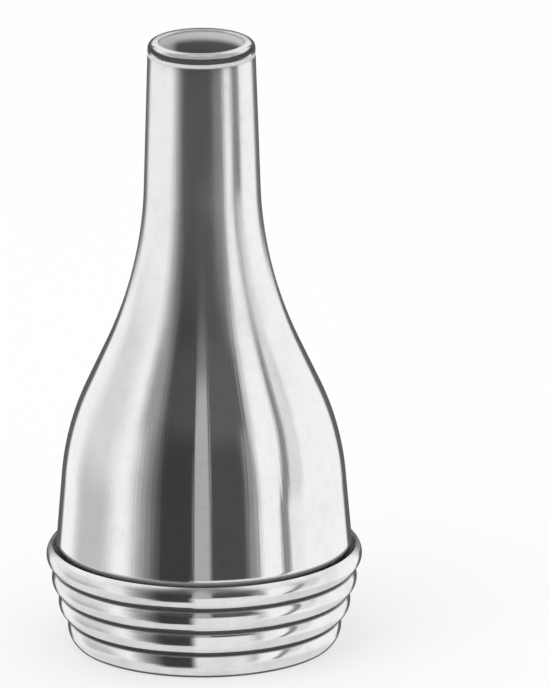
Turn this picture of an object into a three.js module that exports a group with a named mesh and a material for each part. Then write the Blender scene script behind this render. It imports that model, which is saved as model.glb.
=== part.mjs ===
import * as THREE from 'three';

// A metal ear speculum, standing on its wide end with the tip upwards.
// Millimetres, +Z along the axis towards the tip, origin at the centre of the base.
// Every piece is turned or spun about that axis, so each one is a revolved outline.

// Whole instrument
const LENGTH = 37.0;
const WALL = 0.6;
const EDGE_BREAK = 0.08;

// Tip, which enters the ear canal
const LUMEN_DIAMETER = 5.0;
const LIP_WALL = 0.68;
const LIP_OUTER_SHARE = 0.6;
const LIP_INNER_SHARE = 0.16;

// Funnel: three cones, a slim neck, a steep shoulder and a nearly straight skirt, joined by two large
// curves. The flare and the taper are measured, on the radius, to where the cones would meet without them.
const NECK_LENGTH = 14.0;
const NECK_FLARE = 0.44;
const NECK_CURVE_RADIUS = 24.5;
const SHOULDER_LENGTH = 9.8;
const SHOULDER_CURVE_RADIUS = 16.1;
const SKIRT_TAPER = 0.6;
const SKIRT_DIAMETER = 17.6;

// Spigot: the skirt's end, drawn in on the radius to sit in the collar's socket
const SPIGOT_STEP = 1.0;
const SPIGOT_ROOT_RADIUS = 0.4;
const TURN_IN_DROP = 0.75;
const TURN_IN_RADIUS = 0.6;
const SKIRT_LIFT = 0.04;
const JOINT_GAP = 0.05;

// Grip collar: a turned ring with a stack of round beads, widest at the top.
// The shares say how far each bead, from the base up, has grown from the lowest to the flange.
const COLLAR_HEIGHT = 6.0;
const STOP_HEIGHT = 2.25;
const MOUTH_DEPTH = 1.1;
const FLANGE_OVERHANG = 0.58;
const COLLAR_TAPER = 1.26;
const CREST_SHARES = [0, 0.43, 0.75, 1];
const BEAD_ROUNDING = 0.32;
const GROOVE_WIDTH = 0.2;
const GROOVE_DEPTH = 0.18;
const BASE_ROUNDING = 0.42;
const FLANGE_ROUNDING = 0.32;

// Solder ring, run into the gap between the drawn-in skirt and the collar's mouth
const SOLDER_CLEARANCE = 0.03;
const SOLDER_TOE = 0.1;
const SOLDER_SAG = 0.06;

// Faceting: sides of each turned ring, and how far a facet may cut across a curve
const SIDES = 64;
const CHORD_ERROR = 0.012;

const skirtRadius = SKIRT_DIAMETER / 2;
const spigotRadius = skirtRadius - SPIGOT_STEP;
const sightBore = spigotRadius - WALL;
const socketRadius = spigotRadius + JOINT_GAP;
const flangeRadius = skirtRadius + FLANGE_OVERHANG;
const skirtEnd = COLLAR_HEIGHT + SKIRT_LIFT;
const mouthFoot = COLLAR_HEIGHT - MOUTH_DEPTH;
const beadCount = CREST_SHARES.length;

function corner(radius, height, blend = 0) {
  return { point: new THREE.Vector2(radius, height), blend };
}

function headingOf(from, to) {
  return new THREE.Vector2().subVectors(to, from).normalize();
}

// Outlines run up the outside and down the inside, so the metal is always on the left
function leftOf(heading) {
  return new THREE.Vector2(-heading.y, heading.x);
}

// Points along an arc about a centre, with as many facets as its curvature needs
function arcPoints(start, centre, turn) {
  const radius = start.distanceTo(centre);
  const stepAngle = 2 * Math.acos(Math.max(0, 1 - CHORD_ERROR / radius));
  const steps = Math.max(1, Math.ceil(Math.abs(turn) / stepAngle));
  const points = [];
  for (let step = 0; step <= steps; step += 1) {
    points.push(start.clone().rotateAround(centre, turn * step / steps));
  }
  return points;
}

// One corner of an outline, replaced by an arc that is tangent to both of its sides
function roundCorner(before, current, after) {
  const arriving = headingOf(before.point, current.point);
  const leaving = headingOf(current.point, after.point);
  const turn = Math.atan2(arriving.cross(leaving), arriving.dot(leaving));
  if (current.blend === 0 || turn === 0) return [current.point.clone()];
  const reach = current.blend * Math.tan(Math.abs(turn) / 2);
  const start = current.point.clone().addScaledVector(arriving, -reach);
  const centre = start.clone().addScaledVector(leftOf(arriving), Math.sign(turn) * current.blend);
  return arcPoints(start, centre, turn);
}

// A closed outline with each corner rounded by its own blend
function roundedLoop(corners) {
  const count = corners.length;
  return corners.flatMap((current, index) => {
    const before = corners[(index + count - 1) % count];
    const after = corners[(index + 1) % count];
    return roundCorner(before, current, after);
  });
}

// An open outline moved into the metal by one thickness, its curves staying parallel
function parallelCorners(corners, thickness) {
  const headings = corners.slice(1).map((next, index) => headingOf(corners[index].point, next.point));
  return corners.map((current, index) => {
    const arriving = headings[Math.max(index - 1, 0)];
    const leaving = headings[Math.min(index, headings.length - 1)];
    const sides = leftOf(arriving).add(leftOf(leaving));
    const move = thickness / (1 + arriving.dot(leaving));
    const bend = Math.sign(arriving.cross(leaving));
    const point = current.point.clone().addScaledVector(sides, move);
    return { point, blend: current.blend - bend * thickness };
  });
}

// The arc that starts at one point, passes over a second and ends at a third
function arcThrough(from, over, to) {
  const near = new THREE.Vector2().subVectors(over, from);
  const far = new THREE.Vector2().subVectors(to, from);
  const scale = 1 / (2 * near.cross(far));
  const toCentre = new THREE.Vector2(
    (far.y * near.lengthSq() - near.y * far.lengthSq()) * scale,
    (near.x * far.lengthSq() - far.x * near.lengthSq()) * scale,
  );
  const centre = from.clone().add(toCentre);
  const first = from.clone().sub(centre);
  const last = to.clone().sub(centre);
  return arcPoints(from, centre, Math.atan2(first.cross(last), first.dot(last)));
}

// The outside of the funnel, from the end of the spigot up to the tip
function funnelOutside() {
  const neckFoot = LENGTH - NECK_LENGTH;
  const shoulderFoot = neckFoot - SHOULDER_LENGTH;
  const tipRadius = LUMEN_DIAMETER / 2 + LIP_WALL;
  return [
    corner(spigotRadius, STOP_HEIGHT + JOINT_GAP, EDGE_BREAK),
    corner(spigotRadius, skirtEnd - TURN_IN_DROP, SPIGOT_ROOT_RADIUS),
    corner(skirtRadius, skirtEnd, TURN_IN_RADIUS),
    corner(skirtRadius - SKIRT_TAPER, shoulderFoot, SHOULDER_CURVE_RADIUS),
    corner(tipRadius + NECK_FLARE, neckFoot, NECK_CURVE_RADIUS),
    corner(tipRadius, LENGTH, LIP_WALL * LIP_OUTER_SHARE),
  ];
}

// One drawn shell of even thickness, thickened only towards its rolled lip
function funnelProfile() {
  const outside = funnelOutside();
  const inside = parallelCorners(outside, WALL);
  inside[0].blend = EDGE_BREAK;
  inside[inside.length - 1] = corner(LUMEN_DIAMETER / 2, LENGTH, LIP_WALL * LIP_INNER_SHARE);
  return roundedLoop([...outside, ...inside.reverse()]);
}

function crestRadius(bead) {
  return flangeRadius - COLLAR_TAPER * (1 - CREST_SHARES[bead]);
}

// Where the beads end: the rim of the flat base, the grooves between them, and the flange's top edge
function beadEdge(level) {
  const height = COLLAR_HEIGHT * level / beadCount;
  if (level === 0) return new THREE.Vector2(crestRadius(0) - BASE_ROUNDING, height);
  if (level === beadCount) return new THREE.Vector2(flangeRadius - FLANGE_ROUNDING, height);
  const between = (crestRadius(level - 1) + crestRadius(level)) / 2;
  return new THREE.Vector2(between - BEAD_ROUNDING, height);
}

// One bead, from its lower edge over its crest to its upper edge, short of the grooves beside it
function beadArc(bead) {
  const from = beadEdge(bead);
  const to = beadEdge(bead + 1);
  const crest = new THREE.Vector2(crestRadius(bead), (from.y + to.y) / 2);
  if (bead > 0) from.y += GROOVE_WIDTH / 2;
  if (bead + 1 < beadCount) to.y -= GROOVE_WIDTH / 2;
  return arcThrough(from, crest, to);
}

// The beads outside, with a V groove below each but the lowest; a countersunk mouth, a socket with a
// stop, and a bore inside
function collarProfile() {
  const points = beadArc(0);
  for (let bead = 1; bead < beadCount; bead += 1) {
    const groove = beadEdge(bead);
    groove.x -= GROOVE_DEPTH;
    points.push(groove, ...beadArc(bead));
  }
  points.push(
    new THREE.Vector2(socketRadius, mouthFoot),
    new THREE.Vector2(socketRadius, STOP_HEIGHT),
    new THREE.Vector2(sightBore, STOP_HEIGHT),
    new THREE.Vector2(sightBore, EDGE_BREAK),
    new THREE.Vector2(sightBore + EDGE_BREAK, 0),
  );
  return points;
}

// Radius at one height on the straight side between two points
function radiusAt(height, low, high) {
  return low.x + (high.x - low.x) * (height - low.y) / (high.y - low.y);
}

// The solder wets the spigot's root on one side and the countersunk mouth on the other
function solderProfile() {
  const skirtFoot = funnelOutside().slice(0, 3);
  const [spigot, root, turnIn] = parallelCorners(skirtFoot, -SOLDER_CLEARANCE);
  const slope = headingOf(root.point, turnIn.point);
  const rootTurn = Math.atan2(slope.x, slope.y);
  const innerTop = root.point.clone().addScaledVector(slope, SPIGOT_ROOT_RADIUS * Math.tan(rootTurn / 2));
  const mouthLow = new THREE.Vector2(socketRadius - SOLDER_CLEARANCE, mouthFoot);
  const mouthHigh = beadEdge(beadCount);
  mouthHigh.x -= SOLDER_CLEARANCE;
  const outerTop = new THREE.Vector2(radiusAt(innerTop.y, mouthLow, mouthHigh), innerTop.y);
  const middle = innerTop.clone().add(outerTop).divideScalar(2);
  middle.y -= SOLDER_SAG;
  const toe = mouthFoot + SOLDER_TOE;
  return [
    new THREE.Vector2(radiusAt(toe, mouthLow, mouthHigh), toe),
    ...arcThrough(outerTop, middle, innerTop),
    ...roundCorner({ point: innerTop }, root, spigot).slice(1),
    new THREE.Vector2(spigot.point.x, toe),
  ];
}

function turnedPiece(name, profile, material) {
  const closed = [...profile, profile[0].clone()];
  const mesh = new THREE.Mesh(new THREE.LatheGeometry(closed, SIDES), material);
  mesh.name = name;
  mesh.rotation.x = Math.PI / 2;
  return mesh;
}

const polishedPlate = new THREE.MeshStandardMaterial({ color: 0xd9dadb, roughness: 0.12, metalness: 1 });
const turnedPlate = new THREE.MeshStandardMaterial({ color: 0xd2d3d4, roughness: 0.18, metalness: 1 });
const dullSolder = new THREE.MeshStandardMaterial({ color: 0x8f9092, roughness: 0.45, metalness: 1 });

const speculum = new THREE.Group();
speculum.add(turnedPiece('funnel_shell', funnelProfile(), polishedPlate));
speculum.add(turnedPiece('grip_collar', collarProfile(), turnedPlate));
speculum.add(turnedPiece('solder_ring', solderProfile(), dullSolder));

export default speculum;
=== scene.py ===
import math
from collections import namedtuple

import bmesh
import bpy
import numpy as np
from mathutils import Matrix, Vector, noise


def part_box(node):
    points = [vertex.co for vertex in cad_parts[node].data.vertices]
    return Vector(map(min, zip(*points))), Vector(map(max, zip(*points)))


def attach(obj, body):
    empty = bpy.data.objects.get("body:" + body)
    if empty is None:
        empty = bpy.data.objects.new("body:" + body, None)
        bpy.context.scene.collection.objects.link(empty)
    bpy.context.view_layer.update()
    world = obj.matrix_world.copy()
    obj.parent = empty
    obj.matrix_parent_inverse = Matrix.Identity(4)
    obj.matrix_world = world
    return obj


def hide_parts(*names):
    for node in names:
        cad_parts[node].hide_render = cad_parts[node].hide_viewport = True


# A polished metal ear speculum standing on its wide end on a pale table.
# Metres, +Z along the axis towards the tip, the camera on the -Y side.

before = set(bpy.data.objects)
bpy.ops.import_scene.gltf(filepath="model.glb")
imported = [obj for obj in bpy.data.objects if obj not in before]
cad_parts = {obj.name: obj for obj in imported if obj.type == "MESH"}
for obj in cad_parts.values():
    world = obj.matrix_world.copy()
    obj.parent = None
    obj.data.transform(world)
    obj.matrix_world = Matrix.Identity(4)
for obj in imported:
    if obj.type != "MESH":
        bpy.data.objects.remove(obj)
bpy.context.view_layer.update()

funnel_low, funnel_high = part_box("funnel_shell")
collar_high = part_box("grip_collar")[1]

MM = 0.001

# Funnel: one drawn shell of even wall, thickened towards its rolled lip. The flare and the taper are
# measured, on the radius, to where its three cones would meet without the curves between them.
LENGTH = funnel_high.z
WALL = 0.6 * MM
EDGE_BREAK = 0.08 * MM
LUMEN_RADIUS = 2.5 * MM
LIP_WALL = 0.68 * MM
LIP_OUTER_ROUNDING = 0.6 * LIP_WALL
LIP_INNER_ROUNDING = 0.16 * LIP_WALL
TIP_RADIUS = LUMEN_RADIUS + LIP_WALL
NECK_LENGTH = 14.0 * MM
NECK_FLARE = 0.44 * MM
NECK_CURVE = 24.5 * MM
SHOULDER_LENGTH = 9.8 * MM
SHOULDER_CURVE = 16.1 * MM
SKIRT_RADIUS = 8.8 * MM
SKIRT_TAPER = 0.6 * MM

# Spigot: the skirt's end, drawn in to sit in the collar
SPIGOT_STEP = 1.0 * MM
SPIGOT_RADIUS = SKIRT_RADIUS - SPIGOT_STEP
SPIGOT_END = funnel_low.z
SPIGOT_ROOT = 0.4 * MM
TURN_IN_DROP = 0.75 * MM
TURN_IN = 0.6 * MM
JOINT_GAP = 0.05 * MM

# Grip collar: four round beads, widest at the top. The shares say how far each bead, from the base up,
# has grown from the lowest to the flange.
COLLAR_HEIGHT = collar_high.z
FLANGE_RADIUS = collar_high.x
COLLAR_TAPER = 1.26 * MM
CREST_SHARES = (0, 0.43, 0.75, 1)
BEAD_ROUNDING = 0.32 * MM
GROOVE_WIDTH = 0.2 * MM
GROOVE_DEPTH = 0.18 * MM
GROOVE_FLOOR = 0.03 * MM
BASE_ROUNDING = 0.42 * MM
FLANGE_ROUNDING = 0.32 * MM
SKIRT_LIFT = 0.04 * MM
SKIRT_END = COLLAR_HEIGHT + SKIRT_LIFT
MOUTH_DEPTH = 1.1 * MM
MOUTH_FOOT = COLLAR_HEIGHT - MOUTH_DEPTH
SOCKET_RADIUS = SPIGOT_RADIUS + JOINT_GAP
STOP_HEIGHT = SPIGOT_END - JOINT_GAP
SIGHT_BORE = SPIGOT_RADIUS - WALL

# Solder, run into the collar's mouth
SOLDER_CLEARANCE = 0.03 * MM
SOLDER_TOE = 0.1 * MM
SOLDER_SAG = 0.06 * MM
SOLDER_WAVE = 0.06 * MM
SOLDER_WAVES = 5

# Fineness of the turned surfaces, which are finer by the tip and by the collar's mouth
TURNS = 192
ARC_STEP = math.radians(4)
OUTLINE_STEP = 0.25 * MM
FINE_STEP = 0.05 * MM
FINE_ZONE = 0.9 * MM
SHARP = math.radians(35)

# Where the funnel's finish changes, as (start, end) of a soft step, measured down from the tip
BORE_STARTS = (0.05 * MM, 0.2 * MM)
BORE_DARKENS = (0.42 * MM, 0.85 * MM)
BORE_ENDS = (8 * MM, 15 * MM)
HANDLING_STARTS = (0.6 * MM, 1.0 * MM)
LIP_FOOT_STARTS = (0.54 * MM, 0.59 * MM)
LIP_FOOT_ENDS = (0.74 * MM, 0.84 * MM)

# The same up from the base, from the nearest groove's middle and from the flange's inner edge
NECK_STARTS = (18 * MM, 22.5 * MM)
CREVICE_ENDS = (SKIRT_END, SKIRT_END + 0.28 * MM)
FLANGE_TOP_STARTS = (COLLAR_HEIGHT - 0.45 * MM, COLLAR_HEIGHT - 0.15 * MM)
GRIME_AND_SHADE_ENDS = (0.6 * GROOVE_DEPTH, 1.2 * GROOVE_DEPTH)
MOUTH_STARTS = (0.2 * MM, 0.6 * MM)

# The picture: its size in pixels, where the middle of the base lies in it, and what one pixel is on the
# object. The lens is so long that the view is all but parallel.
IMAGE_WIDTH = 550
IMAGE_HEIGHT = 688
PIXEL = 0.0596 * MM
BASE_PIXEL = Vector((204.7, 637.6))
ELEVATION = math.radians(17)
ROLL = math.radians(-0.25)
LENS = 1000.0
SENSOR = 36.0
CLIP_RATIO = 100


# Outlines, as lists of (radius, height), up the outside and down the inside

def corner(radius, height, blend=0.0):
    return Vector((radius, height)), blend


def left_of(heading):
    return Vector((-heading.y, heading.x))


def turn_between(arriving, leaving):
    return math.atan2(arriving.x * leaving.y - arriving.y * leaving.x, arriving.dot(leaving))


def arc(start, centre, turn):
    """Points along an arc about a centre, both ends included."""
    arm = start - centre
    count = max(2, math.ceil(abs(turn) / ARC_STEP), math.ceil(abs(turn) * arm.length / OUTLINE_STEP))
    return [centre + Matrix.Rotation(turn * i / count, 2) @ arm for i in range(count + 1)]


def arc_through(start, over, end):
    """The arc that starts at one point, passes over a second and ends at a third."""
    near, far = over - start, end - start
    double = 2 * (near.x * far.y - near.y * far.x)
    centre = start + Vector((
        far.y * near.length_squared - near.y * far.length_squared,
        near.x * far.length_squared - far.x * near.length_squared,
    )) / double
    return arc(start, centre, turn_between(start - centre, end - centre))


def round_corner(before, current, after):
    """One corner of an outline, replaced by an arc that is tangent to both of its sides."""
    point, blend = current
    arriving = (point - before[0]).normalized()
    leaving = (after[0] - point).normalized()
    turn = turn_between(arriving, leaving)
    if blend == 0 or turn == 0:
        return [point]
    start = point - arriving * blend * math.tan(abs(turn) / 2)
    centre = start + left_of(arriving) * math.copysign(blend, turn)
    return arc(start, centre, turn)


def rounded_loop(corners):
    count = len(corners)
    rounded = [
        round_corner(corners[i - 1], corners[i], corners[(i + 1) % count]) for i in range(count)
    ]
    return [point for run in rounded for point in run]


def parallel(corners, thickness):
    """An open outline moved into the metal by one thickness, its curves staying parallel."""
    points = [point for point, blend in corners]
    headings = [(b - a).normalized() for a, b in zip(points, points[1:])]
    moved = []
    for i, (point, blend) in enumerate(corners):
        arriving = headings[max(i - 1, 0)]
        leaving = headings[min(i, len(headings) - 1)]
        sides = left_of(arriving) + left_of(leaving)
        bend = math.copysign(1, turn_between(arriving, leaving))
        moved.append((point + sides * thickness / (1 + arriving.dot(leaving)), blend - bend * thickness))
    return moved


def divided(points, step_at):
    """A closed outline whose straights are cut into equal parts, none over the step for its height."""
    filled = []
    for here, there in zip(points, points[1:] + points[:1]):
        parts = max(1, math.ceil((there - here).length / step_at(here.y)))
        filled += [here.lerp(there, i / parts) for i in range(parts)]
    return filled


def coarse_step(height):
    return OUTLINE_STEP


def fine_step(height):
    away = min(abs(height - level) for level in (LENGTH, SKIRT_END))
    return FINE_STEP if away < FINE_ZONE else OUTLINE_STEP


def evenly(points):
    """A closed outline divided all along, and then finely where its finish changes most."""
    return divided(divided(points, coarse_step), fine_step)


def funnel_outside():
    """The corners of the funnel's outside, from the end of the spigot up to the tip."""
    neck_foot = LENGTH - NECK_LENGTH
    shoulder_foot = neck_foot - SHOULDER_LENGTH
    return [
        corner(SPIGOT_RADIUS, SPIGOT_END, EDGE_BREAK),
        corner(SPIGOT_RADIUS, SKIRT_END - TURN_IN_DROP, SPIGOT_ROOT),
        corner(SKIRT_RADIUS, SKIRT_END, TURN_IN),
        corner(SKIRT_RADIUS - SKIRT_TAPER, shoulder_foot, SHOULDER_CURVE),
        corner(TIP_RADIUS + NECK_FLARE, neck_foot, NECK_CURVE),
        corner(TIP_RADIUS, LENGTH, LIP_OUTER_ROUNDING),
    ]


def funnel_outline():
    """One shell of even wall, thickened only towards its lip."""
    outside = funnel_outside()
    inside = parallel(outside, WALL)
    inside[0] = (inside[0][0], EDGE_BREAK)
    inside[-1] = corner(LUMEN_RADIUS, LENGTH, LIP_INNER_ROUNDING)
    return rounded_loop(outside + inside[::-1])


def crest_radius(bead):
    return FLANGE_RADIUS - COLLAR_TAPER * (1 - CREST_SHARES[bead])


def bead_edge(level):
    """Where the beads end: the rim of the base, the grooves between them and the flange's top edge."""
    top = len(CREST_SHARES)
    height = COLLAR_HEIGHT * level / top
    if level == 0:
        return Vector((crest_radius(0) - BASE_ROUNDING, height))
    if level == top:
        return Vector((FLANGE_RADIUS - FLANGE_ROUNDING, height))
    return Vector(((crest_radius(level - 1) + crest_radius(level)) / 2 - BEAD_ROUNDING, height))


def bead_arc(bead):
    """One bead, from its lower edge over its crest to its upper edge, short of the grooves beside it."""
    low, high = bead_edge(bead), bead_edge(bead + 1)
    crest = Vector((crest_radius(bead), (low.y + high.y) / 2))
    if bead > 0:
        low.y += GROOVE_WIDTH / 2
    if bead + 1 < len(CREST_SHARES):
        high.y -= GROOVE_WIDTH / 2
    return arc_through(low, crest, high)


def collar_outline():
    """The beads outside, with a turned groove between each two; a mouth, a socket and a bore inside."""
    points = bead_arc(0)
    for bead in range(1, len(CREST_SHARES)):
        above = bead_arc(bead)
        floor = bead_edge(bead) - Vector((GROOVE_DEPTH, 0))
        points += round_corner((points[-1], 0), (floor, GROOVE_FLOOR), (above[0], 0)) + above
    inside = [
        corner(SOCKET_RADIUS, MOUTH_FOOT),
        corner(SOCKET_RADIUS, STOP_HEIGHT),
        corner(SIGHT_BORE, STOP_HEIGHT, EDGE_BREAK),
        corner(SIGHT_BORE, 0, EDGE_BREAK),
    ]
    ends = [(points[-1], 0)] + inside + [(points[0], 0)]
    for before, current, after in zip(ends, ends[1:], ends[2:]):
        points += round_corner(before, current, after)
    return points


def solder_outline():
    """The solder wets the spigot's root on one side and the countersunk mouth on the other."""
    spigot, root, turn_in = parallel(funnel_outside()[:3], -SOLDER_CLEARANCE)
    slope = (turn_in[0] - root[0]).normalized()
    inner_top = root[0] + slope * SPIGOT_ROOT * math.tan(math.atan2(slope.x, slope.y) / 2)
    mouth_low = Vector((SOCKET_RADIUS - SOLDER_CLEARANCE, MOUTH_FOOT))
    mouth_high = bead_edge(len(CREST_SHARES)) - Vector((SOLDER_CLEARANCE, 0))

    def on_mouth(height):
        return mouth_low.lerp(mouth_high, (height - mouth_low.y) / (mouth_high.y - mouth_low.y))

    outer_top = on_mouth(inner_top.y)
    middle = (inner_top + outer_top) / 2 - Vector((0, SOLDER_SAG))
    toe = MOUTH_FOOT + SOLDER_TOE
    return [
        on_mouth(toe),
        *arc_through(outer_top, middle, inner_top),
        *round_corner((inner_top, 0), root, spigot)[1:],
        Vector((spigot[0].x, toe)),
    ]


# Meshes

def turned_piece(name, outline, marks, lift=None):
    """A closed outline turned about the axis, its sharp edges kept sharp.

    Each mark is a number for every point of the outline, which the finish reads by its name. The lift
    raises a point by an amount that depends on its place in the outline and on the angle turned.
    """
    rings = []
    made = bmesh.new()
    layers = {mark: made.verts.layers.float.new(mark) for mark in marks}
    for turn in range(TURNS):
        angle = math.tau * turn / TURNS
        ring = []
        for i, point in enumerate(outline):
            height = point.y + (lift(i, angle) if lift else 0)
            vertex = made.verts.new((point.x * math.cos(angle), point.x * math.sin(angle), height))
            for mark, layer in layers.items():
                vertex[layer] = marks[mark][i]
            ring.append(vertex)
        rings.append(ring)
    count = len(outline)
    for turn in range(TURNS):
        near, far = rings[turn], rings[(turn + 1) % TURNS]
        for i in range(count):
            after = (i + 1) % count
            made.faces.new((near[i], far[i], far[after], near[after]))
    made.normal_update()
    for edge in made.edges:
        edge.smooth = edge.calc_face_angle(0) < SHARP
    for face in made.faces:
        face.smooth = True
    mesh = bpy.data.meshes.new(name)
    made.to_mesh(mesh)
    made.free()
    piece = bpy.data.objects.new(name, mesh)
    bpy.context.scene.collection.objects.link(piece)
    return piece


def eased(value, start, end):
    """0 before start, 1 after end, and a soft step between them."""
    share = min(max((value - start) / (end - start), 0), 1)
    return share * share * (3 - 2 * share)


def funnel_marks(outline):
    """How far a point is down the bore, up the handled neck, under the rolled lip and in the crevice."""
    tip = max(range(len(outline)), key=lambda i: outline[i].y)
    marks = {"bore": [], "bore_shade": [], "satin": [], "neck": [], "lip_foot": [], "crevice": []}
    for i, point in enumerate(outline):
        inside = i > tip
        down = LENGTH - point.y
        in_bore = 1 - eased(down, *BORE_ENDS)
        lip_foot = eased(down, *LIP_FOOT_STARTS) * (1 - eased(down, *LIP_FOOT_ENDS))
        marks["bore"].append(eased(down, *BORE_STARTS) * in_bore if inside else 0)
        # Painted shade: the bore's colour goes dark from just under the lip, as far as the bore runs
        marks["bore_shade"].append(eased(down, *BORE_DARKENS) * in_bore if inside else 0)
        marks["satin"].append(1 - in_bore if inside else 0)
        marks["neck"].append(eased(point.y, *NECK_STARTS) * eased(down, *HANDLING_STARTS))
        marks["lip_foot"].append(0 if inside else lip_foot)
        marks["crevice"].append(0 if inside else 1 - eased(point.y, *CREVICE_ENDS))
    return marks


def collar_marks(outline):
    """How near a point is to a groove, how deep in the mouth, and how high on the flange's top."""
    grooves = [bead_edge(level) - Vector((GROOVE_DEPTH / 2, 0)) for level in range(1, len(CREST_SHARES))]
    rim = bead_edge(len(CREST_SHARES))
    top = min(range(len(outline)), key=lambda i: (outline[i] - rim).length)
    marks = {"groove": [], "hidden": [], "flange_top": []}
    for i, point in enumerate(outline):
        outside = i <= top
        to_groove = min((point - middle).length for middle in grooves)
        in_mouth = not outside and point.y > STOP_HEIGHT - EDGE_BREAK
        marks["groove"].append(1 - eased(to_groove, *GRIME_AND_SHADE_ENDS))
        marks["hidden"].append(eased((point - rim).length, *MOUTH_STARTS) if in_mouth else 0)
        marks["flange_top"].append(eased(point.y, *FLANGE_TOP_STARTS) if outside else 0)
    return marks


def solder_lift(outline):
    """The solder's top waves a little round the joint, and lies still where it wets the walls."""
    low = min(point.x for point in outline)
    high = max(point.x for point in outline)
    toe = MOUTH_FOOT + SOLDER_TOE

    def lift(i, angle):
        point = outline[i]
        if point.y <= toe + SOLDER_CLEARANCE:
            return 0
        middle = math.sin(math.pi * (point.x - low) / (high - low))
        around = Vector((math.cos(angle), math.sin(angle), 0)) * SOLDER_WAVES
        return noise.noise(around) * SOLDER_WAVE * max(middle, 0)

    return lift


# Finishes

PLATE = (0.88, 0.88, 0.885)
PLATE_DULLED = (0.76, 0.76, 0.77)
# Painted light and shade down the bore: near white at its mouth, near black deeper in, where shade falls
BORE_MOUTH_PAINTED_LIGHT = (0.95, 0.95, 0.955)
BORE_PAINTED_SHADE = (0.16, 0.16, 0.162)
# Grime and painted shade in the collar's grooves, and grime alone on the solder's lumps
GRIME_AND_SHADE = (0.15, 0.15, 0.152)
# Painted shade in the crevice under the bell and down the collar's mouth
CREVICE_SHADE = (0.24, 0.24, 0.242)
SOLDER = (0.36, 0.36, 0.365)

# How far haze, handling and specks each take the plate towards its dulled colour
HAZE_DULLS = 0.45
HANDLING_DULLS = 0.3
SPECKS_DULL = 0.25

# Roughness of the funnel's polish, and what each part or flaw of it adds
FUNNEL_POLISH = 0.045
NECK_ROUGHER = 0.12
HAZE_ROUGHER = 0.03
SPECKS_ROUGHER = 0.03
LINES_ROUGHER = 0.08
BORE_ROUGHER = 0.6
SATIN_ROUGHER = 0.2
LIP_FOOT_ROUGHER = 0.5
CREVICE_ROUGHER = 0.5

# The same for the collar
COLLAR_POLISH = 0.07
COLLAR_HAZE_ROUGHER = 0.05
MARKS_ROUGHER = 0.05
GROOVE_ROUGHER = 0.3
MOUTH_ROUGHER = 0.3
FLANGE_TOP_ROUGHER = 0.2

# How much of its mirror the metal loses in the bore, the crevice and the mouth, and elsewhere
INSIDE_MATT = 0.9
LIP_FOOT_MATT = 0.62
GROOVE_MATT = 0.5

# Painted light: the bore's painted shade is lighter on its left, from one share of the way to its left
# side to another
LIT_SIDE_FROM = 0.52
LIT_SIDE_TO = 0.76
LIT_SIDE_LIGHTER = 0.75

# Relief of the polishing lines, with the specks on them, and of the turning marks
POLISHING_DEPTH = 0.003 * MM
SPECKS_RAISED = 0.1
TURNING_DEPTH = 0.0015 * MM

# The solder's skin
SOLDER_ROUGHNESS = 0.35
LUMPS_ROUGHER = 0.3
LUMP_HEIGHT = 0.03 * MM
SOLDER_METALLIC = 0.4

# How much a step outwards counts beside a step up, so that turning marks show on level faces too
OUTWARD_SHARE = 0.7

# A Mix node's sockets for colours: its two ends and its result
MIX_FIRST = 6
MIX_SECOND = 7
MIX_RESULT = 2


class Value:
    """A number that changes over a surface. Sums on it add Math nodes."""

    def __init__(self, finish, socket):
        self.finish = finish
        self.socket = socket

    def maths(self, operation, *numbers):
        sockets = dict(enumerate(numbers))
        return self.finish.value("ShaderNodeMath", {"operation": operation}, sockets)

    def __add__(self, other):
        return self.maths("ADD", self, other)

    def __radd__(self, other):
        return self.maths("ADD", other, self)

    def __sub__(self, other):
        return self.maths("SUBTRACT", self, other)

    def __rsub__(self, other):
        return self.maths("SUBTRACT", other, self)

    def __mul__(self, other):
        return self.maths("MULTIPLY", self, other)

    def __rmul__(self, other):
        return self.maths("MULTIPLY", other, self)


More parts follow.
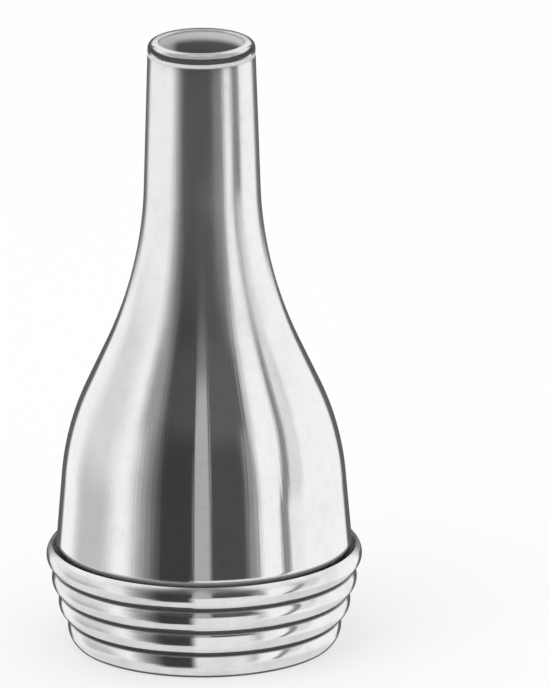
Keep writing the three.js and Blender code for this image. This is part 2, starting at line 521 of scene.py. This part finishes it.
class Finish:
    """A material under construction."""

    def __init__(self, name):
        self.material = bpy.data.materials.new(name)
        self.material.use_nodes = True
        self.nodes = self.material.node_tree.nodes
        self.links = self.material.node_tree.links
        self.nodes.clear()

    def node(self, kind, settings=None, sockets=None):
        """One node: its settings first, then the values or links of its sockets."""
        made = self.nodes.new(kind)
        for key, setting in (settings or {}).items():
            setattr(made, key, setting)
        for key, given in (sockets or {}).items():
            if isinstance(given, Value):
                given = given.socket
            if isinstance(given, bpy.types.NodeSocket):
                self.links.new(given, made.inputs[key])
            else:
                made.inputs[key].default_value = given
        return made

    def value(self, kind, settings=None, sockets=None, output=0):
        return Value(self, self.node(kind, settings, sockets).outputs[output])

    def vector(self, operation, sockets):
        """A place or a direction that Vector Math works out."""
        return self.node("ShaderNodeVectorMath", {"operation": operation}, sockets).outputs[0]

    def part_of(self, vector, axis):
        """The X, Y or Z of a vector, as a number."""
        return self.value("ShaderNodeSeparateXYZ", sockets={0: vector}, output=axis)

    def mark(self, name):
        """A number that the mesh carries."""
        return self.value("ShaderNodeAttribute", {"attribute_name": name}, output="Fac")

    def place(self):
        """Where a point lies on the piece, in millimetres."""
        spot = self.node("ShaderNodeTexCoord").outputs["Object"]
        return self.vector("SCALE", {0: spot, "Scale": 1 / MM})

    def off_axis(self, spot):
        """How a point lies from the axis, level with it."""
        return self.vector("MULTIPLY", {0: spot, 1: (1, 1, 0)})

    def outwards(self, offset):
        return self.vector("NORMALIZE", {0: offset})

    def side(self):
        """-1 on the left of the axis, 1 on its right."""
        return self.part_of(self.outwards(self.off_axis(self.place())), "X")

    def along_and_round(self, lengthwise, roundwise):
        """Coordinates stretched along or round the axis, with no seam on any side."""
        spot = self.place()
        offset = self.off_axis(spot)
        ring = self.outwards(offset)
        radius = self.value("ShaderNodeVectorMath", {"operation": "LENGTH"}, {0: offset}, output="Value")
        along = self.part_of(spot, "Z") + radius * OUTWARD_SHARE
        return self.node("ShaderNodeCombineXYZ", sockets={
            "X": self.part_of(ring, "X") * roundwise,
            "Y": self.part_of(ring, "Y") * roundwise,
            "Z": along * lengthwise,
        }).outputs[0]

    def grain(self, vector, scale, detail=2.0, roughness=0.5):
        return self.value("ShaderNodeTexNoise", {"noise_dimensions": "3D"}, {
            "Vector": vector, "Scale": scale, "Detail": detail, "Roughness": roughness,
        })

    def soft_step(self, value, low, high):
        """0 where a value is below low, 1 where it is above high."""
        return self.value("ShaderNodeMapRange", {"interpolation_type": "SMOOTHSTEP"}, {
            "Value": value, "From Min": low, "From Max": high,
        })

    def tint(self, amount, clean, marked):
        """A colour between two others."""
        ends = [(*end, 1) if isinstance(end, tuple) else end for end in (clean, marked)]
        return self.node("ShaderNodeMix", {"data_type": "RGBA"}, {
            "Factor": amount, MIX_FIRST: ends[0], MIX_SECOND: ends[1],
        }).outputs[MIX_RESULT]

    def bumped(self, height, distance):
        sockets = {"Strength": 1.0, "Distance": distance, "Height": height}
        return self.node("ShaderNodeBump", sockets=sockets).outputs[0]

    def surface(self, shader):
        self.node("ShaderNodeOutputMaterial", sockets={"Surface": shader.outputs[0]})
        return self.material

    def metal(self, colour, roughness, normal, metallic):
        return self.surface(self.node("ShaderNodeBsdfPrincipled", sockets={
            "Base Color": colour, "Metallic": metallic, "Roughness": roughness, "Normal": normal,
        }))

    def glowing(self, shader):
        """The material of a thing whose glow is seen but isn't a lamp."""
        self.material.cycles.emission_sampling = "NONE"
        return self.surface(shader)


def polished_plate():
    """Mirror-polished plate, lengthwise polishing lines, hazier on the neck, satin down the bore."""
    finish = Finish("polished_plate")
    spot = finish.place()
    bore, bore_shade, satin, neck, lip_foot, crevice = (
        finish.mark(name) for name in ("bore", "bore_shade", "satin", "neck", "lip_foot", "crevice")
    )
    lines = finish.grain(finish.along_and_round(lengthwise=0.1, roundwise=70.0), scale=1.0, detail=3.0)
    haze = finish.grain(spot, scale=0.35, detail=4.0, roughness=0.6)
    handling = finish.grain(spot, scale=1.6, detail=3.0, roughness=0.6)
    specks = finish.grain(spot, scale=7.0)

    dulled = (
        finish.soft_step(haze, low=0.4, high=0.75) * HAZE_DULLS
        + finish.soft_step(handling, low=0.45, high=0.75) * HANDLING_DULLS
        + finish.soft_step(specks, low=0.6, high=0.8) * SPECKS_DULL
    )
    # Painted light on the bore's left side, where its painted shade is made lighter
    lit_side = finish.soft_step(finish.side() * -1.0, low=LIT_SIDE_FROM, high=LIT_SIDE_TO)
    colour = finish.tint(dulled, PLATE, PLATE_DULLED)
    # Painted light near the bore's mouth, then painted shade deeper down the bore
    colour = finish.tint(bore, colour, BORE_MOUTH_PAINTED_LIGHT)
    colour = finish.tint(bore_shade * (1.0 - lit_side * LIT_SIDE_LIGHTER), colour, BORE_PAINTED_SHADE)
    # Painted shade in the crevice between the bell and the flange
    colour = finish.tint(crevice, colour, CREVICE_SHADE)

    roughness = (
        FUNNEL_POLISH
        + neck * NECK_ROUGHER
        + finish.soft_step(haze, low=0.35, high=0.7) * HAZE_ROUGHER
        + specks * SPECKS_ROUGHER
        + finish.soft_step(lines, low=0.5, high=0.8) * LINES_ROUGHER
        + bore * BORE_ROUGHER
        + satin * SATIN_ROUGHER
        + lip_foot * LIP_FOOT_ROUGHER
        + crevice * CREVICE_ROUGHER
    )
    metallic = 1.0 - (bore + crevice) * INSIDE_MATT - lip_foot * LIP_FOOT_MATT
    normal = finish.bumped(lines + specks * SPECKS_RAISED, POLISHING_DEPTH)
    return finish.metal(colour, roughness, normal, metallic)


def turned_plate():
    """Bright turned beads: fine turning marks, grime and painted shade in the grooves, painted shade in
    the mouth.
    """
    finish = Finish("turned_plate")
    groove, hidden, flange_top = (finish.mark(name) for name in ("groove", "hidden", "flange_top"))
    marks = finish.grain(finish.along_and_round(lengthwise=30.0, roundwise=0.6), scale=1.0)
    haze = finish.grain(finish.place(), scale=0.5, detail=3.0, roughness=0.6)

    colour = finish.tint(finish.soft_step(haze, low=0.35, high=0.75), PLATE, PLATE_DULLED)
    # Painted shade down in the collar's mouth
    colour = finish.tint(hidden, colour, CREVICE_SHADE)
    # Grime and painted shade in the grooves, where the beads meet
    colour = finish.tint(groove, colour, GRIME_AND_SHADE)

    roughness = (
        COLLAR_POLISH
        + finish.soft_step(haze, low=0.3, high=0.7) * COLLAR_HAZE_ROUGHER
        + finish.soft_step(marks, low=0.5, high=0.8) * MARKS_ROUGHER
        + groove * GROOVE_ROUGHER
        + hidden * MOUTH_ROUGHER
        + flange_top * FLANGE_TOP_ROUGHER
    )
    metallic = 1.0 - hidden * INSIDE_MATT - groove * GROOVE_MATT
    return finish.metal(colour, roughness, finish.bumped(marks, TURNING_DEPTH), metallic)


def dull_solder():
    """Dull grey solder with a lumpy, grimy skin."""
    finish = Finish("dull_solder")
    lumps = finish.grain(finish.place(), scale=3.0, detail=4.0, roughness=0.6)
    colour = finish.tint(lumps, SOLDER, GRIME_AND_SHADE)
    roughness = SOLDER_ROUGHNESS + lumps * LUMPS_ROUGHER
    return finish.metal(colour, roughness, finish.bumped(lumps, LUMP_HEIGHT), SOLDER_METALLIC)


# Studio

Flag = namedtuple("Flag", "name left right low high tone lean", defaults=(0,))

# What the plate mirrors: a pale tent with grey and dark flags. Each edge is (outer, inner) in degrees
# round from the camera to its right, or up from the horizon, and the tone fades in between the two.
# A flag that leans moves round by that much for each degree up.
FLAGS = (
    Flag("floor", (-180, -180), (180, 180), (-91, -91), (-20, -34), 0.78),
    Flag("overhead", (-180, -180), (180, 180), (74, 81), (91, 91), 0.50),
    Flag("left_shade", (-132, -110), (-68, -92), (-28, -20), (36, 14), 0.76),
    Flag("left_shade_low", (-130, -110), (-72, -92), (-28, -20), (6, -13), 0.57),
    Flag("front_step", (-68, -47), (-30, -40), (-36, -28), (62, 58), 0.34),
    Flag("front_step_high", (-74, -54), (-30, -40), (14, 29), (62, 58), 0.34),
    Flag("front_left", (-52, -33), (-3, -7), (-46, -38), (89, 82), 0.05),
    Flag("front_right", (-9, -6), (45, 38), (-24, -18), (89, 82), 0.075),
    Flag("shoulder_left", (-46, -28), (-3, -7), (18, 33), (42, 35), 0.085),
    Flag("shoulder_right", (-9, -6), (54, 38), (15, 30), (60, 50), 0.115),
    Flag("front_margin", (31, 39), (49, 41), (-20, -15), (31, 18), 0.30),
    Flag("right_line", (65, 67.5), (76, 73), (-26, -20), (44, 36), 0.27, 0.3),
    Flag("right_shade", (74, 77), (92, 86), (-14, -4), (42, 28), 0.80, 0.3),
    Flag("right_smudge", (83, 86), (92, 89), (14, 20), (40, 32), 0.72, 0.3),
    Flag("behind", (147, 153), (213, 207), (-24, -19), (54, 40), 0.12),
    Flag("behind_low", (156, 161), (204, 199), (-62, -52), (-17, -21), 0.12),
)
TENT_RADIUS = 3.0
TENT_STEP = 0.5

# Soft cards close round the object, in degrees round and millimetres up. At this distance each card is
# mirrored by only one part of it: the bell, the beads or the neck. Each card stands a little behind the
# one before it.
CARDS = (
    Flag("bell_strip", (-6.3, -4.3), (4.6, 2.6), (4.5, 5.5), (25.2, 20.5), 0.45),
    Flag("bead_light", (-8, -3), (36, 22), (-12, -10), (5.5, 4.9), 0.86),
    Flag("neck_left", (-130, -118), (-56, -66), (21.2, 23.6), (34.15, 33.6), 0.95),
    Flag("neck_front", (-44, -24), (22, 17), (23.8, 25.6), (34.6, 33.6), 0.095),
    Flag("neck_margin", (8, 22), (42, 36), (23.5, 25.6), (34.6, 33.6), 0.22),
    Flag("neck_line", (56, 60), (76, 72), (24.3, 26.5), (34.6, 33.6), 0.19),
    Flag("neck_behind", (117, 124), (243, 236), (20, 24), (34.6, 33.6), 0.14),
)
CARD_RADIUS = 13.0 * MM

# The rolled lip mirrors so wide a sweep of the room that it has cards of its own, closer in
LIP_CARDS = (
    Flag("lip_dim", (157, 171), (203, 189), (39.05, 39.5), (52, 44), 0.55),
    Flag("lip_light", (130, 140), (230, 220), (38.4, 38.65), (52, 44), 0.92),
    Flag("lip_sides", (100, 118), (260, 242), (39.9, 40.6), (50, 44), 0.85),
    Flag("lip_front", (-140, -120), (140, 120), (35.2, 35.4), (40.2, 38.4), 0.08),
    Flag("lip_above_front", (-105, -70), (105, 70), (38.8, 40.8), (47, 43), 0.45),
    Flag("lip_above", (-180, -180), (180, 180), (41, 45), (70, 60), 0.45),
    Flag("lip_behind", (115, 135), (245, 225), (35.2, 35.4), (38.6, 38.35), 0.12),
)
LIP_CARD_RADIUS = 7.0 * MM
CARD_GAP = 0.02 * MM
CARD_CELLS = 120

# The table, how far the picture sees it as plain white, the dark shade under the object and the lamp
TABLE_RADIUS = 4.0
TABLE_WHITE = 0.9
TABLE_GLOW = 0.5
SHADE_RADIUS = 7.85 * MM
SHADE_DROP = 0.02 * MM
SHADE_TONE = 0.12
DISC_SIDES = 96
LAMP_POWER = 0.6
LAMP_SIZE = 0.4
LAMP_PLACE = Vector((-0.25, -0.25, 0.5))


def show_only_to(thing, *rays):
    for ray in ("camera", "diffuse", "glossy", "transmission", "volume_scatter", "shadow"):
        setattr(thing, "visible_" + ray, ray in rays)


def fade(value, outer, inner):
    """0 beyond an edge's outer side and 1 beyond its inner side, or 1 all over where they are the same."""
    if outer == inner:
        return np.ones_like(value)
    share = np.clip((value - outer) / (inner - outer), 0, 1)
    return share * share * (3 - 2 * share)


def cover_of(flag, azimuth, height):
    """How much of each spot a flag covers: all of it inside its edges, none of it outside."""
    middle = (flag.left[0] + flag.right[0]) / 2
    round_from_middle = (azimuth - flag.lean * height - middle + 180) % 360 - 180 + middle
    return (
        fade(round_from_middle, *flag.left) * fade(round_from_middle, *flag.right)
        * fade(height, *flag.low) * fade(height, *flag.high)
    )


def tent_tone(azimuth, elevation):
    """White, with each flag laid over those before it."""
    tone = np.ones_like(azimuth)
    for flag in FLAGS:
        tone += (flag.tone - tone) * cover_of(flag, azimuth, elevation)
    return tone


def grey(tone):
    return tone, tone, tone, 1


def tent_card():
    """Card of the tones that its mesh carries."""
    finish = Finish("tent_card")
    return finish.glowing(finish.node("ShaderNodeEmission", sockets={"Color": finish.mark("tone")}))


def plain_card(name, tone):
    """Card of one tone."""
    finish = Finish(name)
    return finish.glowing(finish.node("ShaderNodeEmission", sockets={"Color": grey(tone)}))


def soft_card(flag):
    """A card of one tone that fades out towards its edges."""
    finish = Finish(flag.name)
    clear = finish.node("ShaderNodeBsdfTransparent")
    shine = finish.node("ShaderNodeEmission", sockets={"Color": grey(flag.tone)})
    return finish.glowing(finish.node("ShaderNodeMixShader", sockets={
        0: finish.mark("cover"), 1: clear.outputs[0], 2: shine.outputs[0],
    }))


def pale_table():
    """A matt white table that keeps the object's shadow. Seen from below, it isn't there."""
    finish = Finish("pale_table")
    matt = finish.node("ShaderNodeBsdfDiffuse", sockets={"Color": grey(TABLE_WHITE)})
    shine = finish.node("ShaderNodeEmission", sockets={"Strength": 1.0})
    clear = finish.node("ShaderNodeBsdfTransparent")
    seen = finish.value("ShaderNodeLightPath", output="Is Camera Ray")
    below = finish.value("ShaderNodeNewGeometry", output="Backfacing")
    top = finish.node("ShaderNodeMixShader", sockets={
        0: seen * TABLE_GLOW, 1: matt.outputs[0], 2: shine.outputs[0],
    })
    return finish.glowing(finish.node("ShaderNodeMixShader", sockets={
        0: below, 1: top.outputs[0], 2: clear.outputs[0],
    }))


def spots(rounds, heights):
    """Every pair of an angle round and a height, and how far right and back each angle points."""
    azimuth, height = (grid.ravel() for grid in np.meshgrid(rounds, heights))
    return azimuth, height, np.sin(np.radians(azimuth)), -np.cos(np.radians(azimuth))


def sheet(name, points, columns, mark, numbers, material):
    """A sheet of card from rows of points, each carrying one number that its finish reads."""
    faces = []
    for first in range(0, len(points) - columns, columns):
        faces += [(i, i + 1, i + 1 + columns, i + columns) for i in range(first, first + columns - 1)]
    mesh = bpy.data.meshes.new(name)
    mesh.from_pydata(points.tolist(), [], faces)
    mesh.attributes.new(mark, "FLOAT", "POINT").data.foreach_set("value", numbers.astype(np.float32))
    mesh.materials.append(material)
    thing = bpy.data.objects.new(name, mesh)
    bpy.context.scene.collection.objects.link(thing)
    show_only_to(thing, "glossy", "transmission")


def light_tent():
    """A ball of card round the object that only the plate's reflections see."""
    rounds = np.arange(-180, 180 + TENT_STEP / 2, TENT_STEP)
    heights = np.arange(-90, 90 + TENT_STEP / 2, TENT_STEP)
    azimuth, elevation, right, back = spots(rounds, heights)
    level, up = np.cos(np.radians(elevation)), np.sin(np.radians(elevation))
    points = TENT_RADIUS * np.column_stack((right * level, back * level, up))
    sheet("light_tent", points, len(rounds), "tone", tent_tone(azimuth, elevation), tent_card())


def near_card(flag, radius):
    """A soft card bent round the object at one distance from its axis."""
    rounds = np.linspace(flag.left[0], flag.right[0], CARD_CELLS)
    heights = np.linspace(flag.low[0], flag.high[0], CARD_CELLS)
    azimuth, height, right, back = spots(rounds, heights)
    points = np.column_stack((right * radius, back * radius, height * MM))
    sheet(flag.name, points, CARD_CELLS, "cover", cover_of(flag, azimuth, height), soft_card(flag))


def disc(name, radius, height, material):
    made = bmesh.new()
    bmesh.ops.create_circle(made, cap_ends=True, segments=DISC_SIDES, radius=radius)
    mesh = bpy.data.meshes.new(name)
    made.to_mesh(mesh)
    made.free()
    mesh.materials.append(material)
    thing = bpy.data.objects.new(name, mesh)
    thing.location.z = height
    bpy.context.scene.collection.objects.link(thing)
    return thing


def white_room():
    world = bpy.data.worlds.new("white_room")
    bpy.context.scene.world = world
    world.use_nodes = True
    world.node_tree.nodes["Background"].inputs["Color"].default_value = grey(1)


def soft_lamp():
    """A lamp that the plate doesn't mirror, for the object's shadow on the table."""
    lamp = bpy.data.lights.new("soft_lamp", "AREA")
    lamp.energy = LAMP_POWER
    lamp.size = LAMP_SIZE
    thing = bpy.data.objects.new("soft_lamp", lamp)
    thing.location = LAMP_PLACE
    thing.rotation_euler = (-LAMP_PLACE).to_track_quat("-Z", "Y").to_euler()
    thing.visible_glossy = False
    bpy.context.scene.collection.objects.link(thing)


def studio():
    """The table, a shade under the object, the tent, the cards and the lamp."""
    table = disc("table", TABLE_RADIUS, 0.0, pale_table())
    table.visible_glossy = False
    shade = disc("table_shade", SHADE_RADIUS, -SHADE_DROP, plain_card("table_shade", SHADE_TONE))
    show_only_to(shade, "glossy")
    light_tent()
    for radius, cards in ((CARD_RADIUS, CARDS), (LIP_CARD_RADIUS, LIP_CARDS)):
        for i, flag in enumerate(cards):
            near_card(flag, radius + i * CARD_GAP)
    white_room()
    soft_lamp()


def camera():
    """The picture's view: from the front and a little above, from far away."""
    data = bpy.data.cameras.new("camera")
    data.lens = LENS
    data.sensor_width = SENSOR
    eye = bpy.data.objects.new("camera", data)
    bpy.context.scene.collection.objects.link(eye)
    bpy.context.scene.camera = eye
    right = Vector((1, 0, 0))
    up = Vector((0, math.sin(ELEVATION), math.cos(ELEVATION)))
    back = Vector((0, -math.cos(ELEVATION), math.sin(ELEVATION)))
    turned = Matrix.Rotation(ROLL, 3, back)
    right, up = turned @ right, turned @ up
    across = (IMAGE_WIDTH / 2 - BASE_PIXEL.x) * PIXEL
    above = (BASE_PIXEL.y - IMAGE_HEIGHT / 2) * PIXEL
    distance = IMAGE_HEIGHT * PIXEL * LENS / SENSOR
    eye.location = right * across + up * above + back * distance
    eye.rotation_euler = Matrix((right, up, back)).transposed().to_euler()
    data.clip_start = distance / CLIP_RATIO
    data.clip_end = distance * CLIP_RATIO


# Pieces

def fitted(piece, material, node):
    """A piece with its finish, riding on the body in place of its plain node."""
    piece.data.materials.append(material)
    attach(piece, "root")
    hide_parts(node)


def funnel():
    outline = evenly(funnel_outline())
    piece = turned_piece("funnel", outline, funnel_marks(outline))
    fitted(piece, polished_plate(), "funnel_shell")


def collar():
    outline = evenly(collar_outline())
    piece = turned_piece("collar", outline, collar_marks(outline))
    fitted(piece, turned_plate(), "grip_collar")


def solder():
    outline = solder_outline()
    piece = turned_piece("solder", outline, {}, solder_lift(outline))
    fitted(piece, dull_solder(), "solder_ring")


camera()
studio()
funnel()
collar()
solder()

bpy.context.scene.view_settings.view_transform = "Standard"
